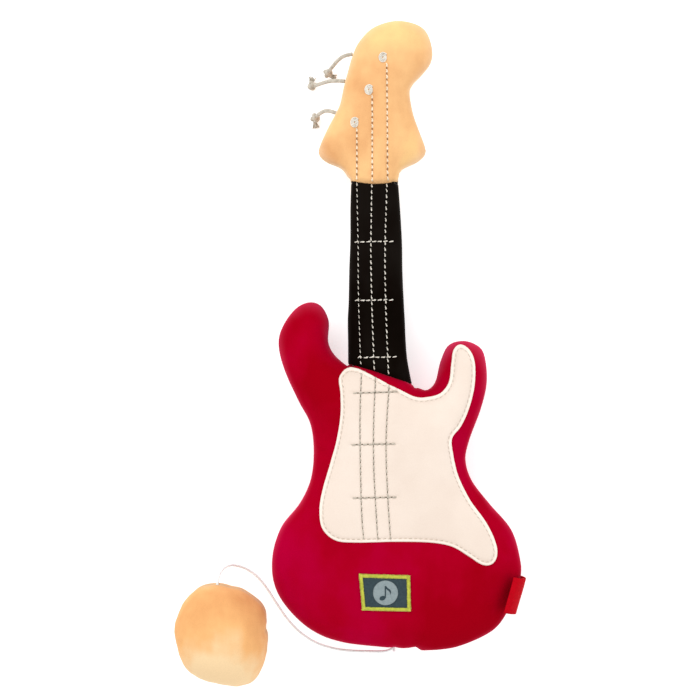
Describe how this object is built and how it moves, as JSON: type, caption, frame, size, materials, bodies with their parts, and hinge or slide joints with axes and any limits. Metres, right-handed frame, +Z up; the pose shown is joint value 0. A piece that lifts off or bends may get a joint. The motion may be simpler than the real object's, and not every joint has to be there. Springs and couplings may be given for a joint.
{
  "type": "plush musical guitar",
  "caption": "Plush toy guitar with stuffed velour body, neck and headstock, stitched strings, and a pull cord with a stuffed ball that winds a hidden musical movement.",
  "frame": {"origin": "on the surface it lies on, under the middle of the box around the guitar and its pull ball, without the tuner cords", "axes": "+Z up out of the guitar's front face, +Y along the neck towards the headstock, +X to the right seen from the front"},
  "size_m": [0.201, 0.3782, 0.054],
  "materials": {
    "red_velour": "soft short-pile velour, crimson",
    "black_velour": "short-pile velour, black",
    "orange_velour": "short-pile velour, pale orange",
    "stuffing": "polyester fibre filling",
    "cream_cloth": "smooth cream plush cloth",
    "white_thread": "thick twisted thread, white and grey",
    "grey_thread": "thin topstitching thread",
    "slate_cloth": "woven badge cloth, slate",
    "lime_thread": "satin-stitched edge, lime",
    "silver_thread": "embroidered thread, silver grey",
    "red_ribbon": "folded woven ribbon, red",
    "tuner_cord": "twisted cotton cord, beige",
    "white_cord": "braided polyester cord, white",
    "case_plastic": "moulded, white",
    "gear_plastic": "moulded acetal, natural",
    "steel": "bright steel",
    "brass": "polished brass"
  },
  "bodies": {
    "root": {"body_front_panel": "red_velour", "body_back_panel": "red_velour", "body_stuffing": "stuffing", "neck_front_panel": "black_velour", "neck_back_panel": "black_velour", "neck_stuffing": "stuffing", "headstock_front_panel": "orange_velour", "headstock_back_panel": "orange_velour", "headstock_stuffing": "stuffing", "pickguard": "cream_cloth", "pickguard_topstitch": "grey_thread", "pickup_threads": "white_thread", "fret_threads": "white_thread", "string_thread_left": "white_thread", "string_thread_middle": "white_thread", "string_thread_right": "white_thread", "tuner_spots": "white_thread", "badge_patch": "slate_cloth", "badge_border": "lime_thread", "badge_medallion": "silver_thread", "badge_note": "slate_cloth", "side_tag": "red_ribbon", "tuner_cord_upper": "tuner_cord", "tuner_cord_middle": "tuner_cord", "tuner_cord_lower": "tuner_cord", "tuner_knot_upper": "tuner_cord", "tuner_knot_middle": "tuner_cord", "tuner_knot_lower": "tuner_cord", "inner_cord": "white_cord", "case_base": "case_plastic", "case_cover": "case_plastic", "case_screws": "steel", "cord_guide": "case_plastic", "mainspring": "steel", "comb": "steel", "comb_screws": "brass"},
    "pull": {"pull_cord": "white_cord", "ball_cord_knot": "white_cord", "ball_front_panel": "orange_velour", "ball_back_panel": "orange_velour", "ball_stuffing": "stuffing"},
    "drum": {"drum_wheel": "gear_plastic", "cord_drum": "gear_plastic", "cord_winding": "white_cord", "drum_arbor": "steel"},
    "cylinder": {"cylinder_pinion": "gear_plastic", "pinned_cylinder": "brass", "cylinder_pins": "steel", "cylinder_wheel": "gear_plastic", "cylinder_arbor": "steel"},
    "governor": {"governor_pinion": "gear_plastic", "governor_wheel": "gear_plastic", "governor_arbor": "steel"},
    "fan": {"fan_pinion": "gear_plastic", "governor_fan": "gear_plastic", "fan_arbor": "steel"}
  },
  "joints": [
    {"name": "pull_slide", "type": "slide", "parent": "root", "child": "pull", "axis": [0, -1, 0], "range_m": [0, 0.2], "stiffness_N_per_m": 25, "deforming": ["pull_cord"]},
    {"name": "drum_spin", "type": "hinge", "parent": "root", "child": "drum", "pos_m": [0.01688, -0.1036, 0.024], "axis": [0, 0, 1], "range_deg": [-1310.3, 0]},
    {"name": "cylinder_spin", "type": "hinge", "parent": "root", "child": "cylinder", "pos_m": [0.03438, -0.1036, 0.024], "axis": [0, 0, 1], "range_deg": [0, 5241.1]},
    {"name": "governor_spin", "type": "hinge", "parent": "root", "child": "governor", "pos_m": [0.04063, -0.11442, 0.024], "axis": [0, 0, 1], "range_deg": [-20964.4, 0]},
    {"name": "fan_spin", "type": "hinge", "parent": "root", "child": "fan", "pos_m": [0.02919, -0.11563, 0.024], "axis": [0, 0, 1], "range_deg": [0, 75471.7]}
  ],
  "couplings": [
    {"joint": "drum_spin", "follows": "pull_slide", "rad_per_m": -114.29},
    {"joint": "cylinder_spin", "follows": "pull_slide", "rad_per_m": 457.14},
    {"joint": "governor_spin", "follows": "pull_slide", "rad_per_m": -1828.6},
    {"joint": "fan_spin", "follows": "pull_slide", "rad_per_m": 6582.9}
  ]
}
